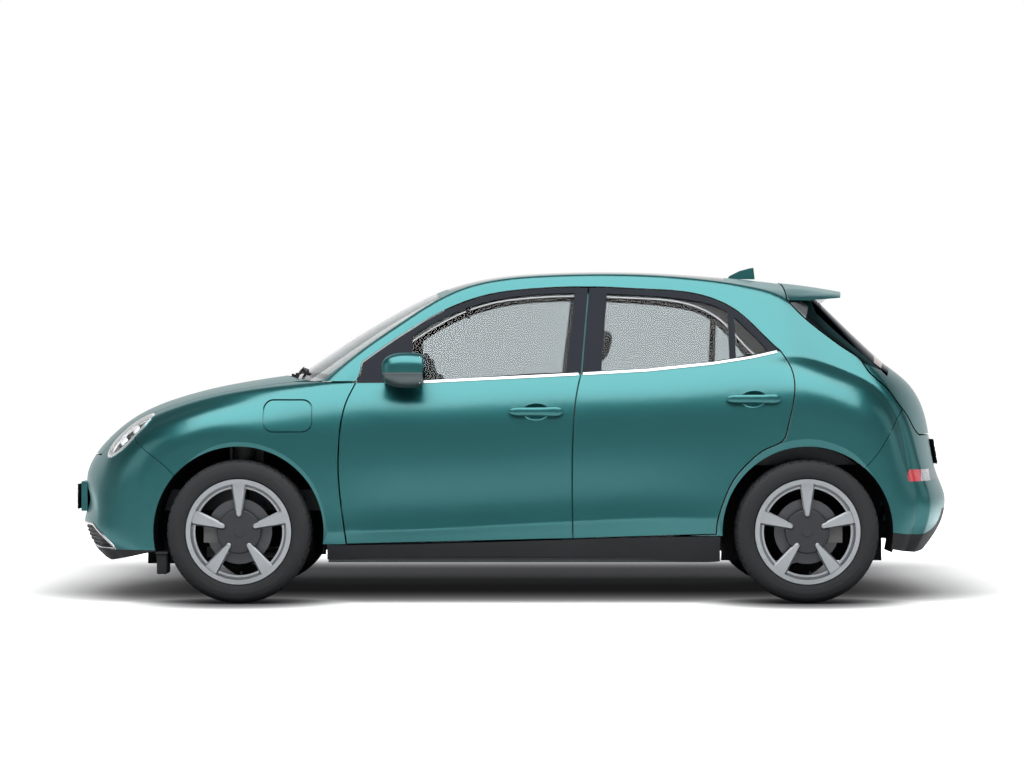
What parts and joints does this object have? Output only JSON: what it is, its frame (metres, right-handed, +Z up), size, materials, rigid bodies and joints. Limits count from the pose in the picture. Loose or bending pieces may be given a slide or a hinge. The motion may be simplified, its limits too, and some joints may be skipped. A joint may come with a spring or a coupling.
{
  "type": "hatchback car",
  "caption": "Compact retro-styled electric hatchback with five doors in satin teal green, with opening doors, hood, tailgate and charge flap, turning wheels and steering.",
  "frame": {"origin": "on the ground at the centreline, midway along the length", "axes": "+X to the rear, +Y to the car's right, +Z up"},
  "size_m": [4.223, 2.0268, 1.603],
  "materials": {
    "paint": "satin",
    "clear_glass": "polished",
    "dark_glass": "polished",
    "black_plastic": "matte",
    "silver_plastic": "gloss",
    "lamp_red": "gloss",
    "seat_cloth": "matte",
    "cast_metal": "satin",
    "dark_steel": "satin",
    "tyre_rubber": "matte",
    "wheel_alloy": "satin"
  },
  "bodies": {
    "body": {"arch_liners": "black_plastic", "battery_and_drive": "cast_metal", "body_shell": "paint", "cowl_panel": "black_plastic", "dashboard": "black_plastic", "front_bumper": "paint", "front_fenders": "paint", "front_seats": "seat_cloth", "front_subframe": "dark_steel", "headlamp_lenses": "clear_glass", "headlamps": "silver_plastic", "lower_cladding": "black_plastic", "lower_grille": "black_plastic", "rear_axle": "dark_steel", "rear_bumper": "paint", "rear_bumper_lamps": "lamp_red", "rear_seat": "seat_cloth", "roof_glass": "dark_glass", "windscreen": "clear_glass"},
    "hood_body": {"hood": "paint"},
    "tailgate_body": {"tailgate": "paint", "tailgate_glass": "dark_glass", "tail_lamps": "lamp_red"},
    "door_front_left": {"front_door_left": "paint", "front_door_glass_left": "clear_glass", "door_mirror_left": "paint"},
    "door_front_right": {"front_door_right": "paint", "front_door_glass_right": "clear_glass", "door_mirror_right": "paint"},
    "door_rear_left": {"rear_door_left": "paint", "rear_door_glass_left": "clear_glass"},
    "door_rear_right": {"rear_door_right": "paint", "rear_door_glass_right": "clear_glass"},
    "knuckle_left": {"front_knuckle_left": "dark_steel"},
    "knuckle_right": {"front_knuckle_right": "dark_steel"},
    "wheel_front_left": {"tyre_front_left": "tyre_rubber", "rim_front_left": "wheel_alloy"},
    "wheel_front_right": {"tyre_front_right": "tyre_rubber", "rim_front_right": "wheel_alloy"},
    "wheel_rear_left": {"tyre_rear_left": "tyre_rubber", "rim_rear_left": "wheel_alloy"},
    "wheel_rear_right": {"tyre_rear_right": "tyre_rubber", "rim_rear_right": "wheel_alloy"},
    "steering_body": {"steering_wheel": "black_plastic"},
    "flap_body": {"charge_flap": "paint"}
  },
  "joints": [
    {"name": "steer_left", "type": "hinge", "parent": "body", "child": "knuckle_left", "pos_m": [-1.2835, -0.738, 0.216], "axis": [0, 0.2551, 0.9669], "range_deg": [-35, 35]},
    {"name": "steer_right", "type": "hinge", "parent": "body", "child": "knuckle_right", "pos_m": [-1.2835, 0.738, 0.216], "axis": [0, -0.2551, 0.9669], "range_deg": [-35, 35]},
    {"name": "wheel_front_left_spin", "type": "hinge", "parent": "knuckle_left", "child": "wheel_front_left", "pos_m": [-1.2835, -0.787, 0.336], "axis": [0, 1, 0], "continuous": true},
    {"name": "wheel_front_right_spin", "type": "hinge", "parent": "knuckle_right", "child": "wheel_front_right", "pos_m": [-1.2835, 0.787, 0.336], "axis": [0, 1, 0], "continuous": true},
    {"name": "wheel_rear_left_spin", "type": "hinge", "parent": "body", "child": "wheel_rear_left", "pos_m": [1.3665, -0.787, 0.336], "axis": [0, 1, 0], "continuous": true},
    {"name": "wheel_rear_right_spin", "type": "hinge", "parent": "body", "child": "wheel_rear_right", "pos_m": [1.3665, 0.787, 0.336], "axis": [0, 1, 0], "continuous": true},
    {"name": "steering_wheel_turn", "type": "hinge", "parent": "body", "child": "steering_body", "pos_m": [-0.3507, -0.37, 0.99707], "axis": [0.9061, 0, 0.4231], "range_deg": [-490, 490]},
    {"name": "hood_hinge", "type": "hinge", "parent": "body", "child": "hood_body", "pos_m": [-0.962, 0, 1.08], "axis": [0, 1, 0], "range_deg": [0, 50]},
    {"name": "tailgate_hinge", "type": "hinge", "parent": "body", "child": "tailgate_body", "pos_m": [1.3, 0, 1.531], "axis": [0, -1, 0], "range_deg": [0, 75]},
    {"name": "door_front_left_hinge", "type": "hinge", "parent": "body", "child": "door_front_left", "pos_m": [-0.788, -0.905, 0.6], "axis": [0, 0, -1], "range_deg": [0, 62]},
    {"name": "door_front_right_hinge", "type": "hinge", "parent": "body", "child": "door_front_right", "pos_m": [-0.788, 0.905, 0.6], "axis": [0, 0, 1], "range_deg": [0, 62]},
    {"name": "door_rear_left_hinge", "type": "hinge", "parent": "body", "child": "door_rear_left", "pos_m": [0.3, -0.905, 0.6], "axis": [0, 0, -1], "range_deg": [0, 65]},
    {"name": "door_rear_right_hinge", "type": "hinge", "parent": "body", "child": "door_rear_right", "pos_m": [0.3, 0.905, 0.6], "axis": [0, 0, 1], "range_deg": [0, 65]},
    {"name": "charge_flap_hinge", "type": "hinge", "parent": "body", "child": "flap_body", "pos_m": [-1.1669, -0.8805, 0.8755], "axis": [0, -0.3499, -0.9368], "range_deg": [0, 80]}
  ],
  "couplings": [
    {"joint": "steer_right", "follows": "steer_left", "ratio": 1},
    {"joint": "steering_wheel_turn", "follows": "steer_left", "ratio": 14}
  ]
}
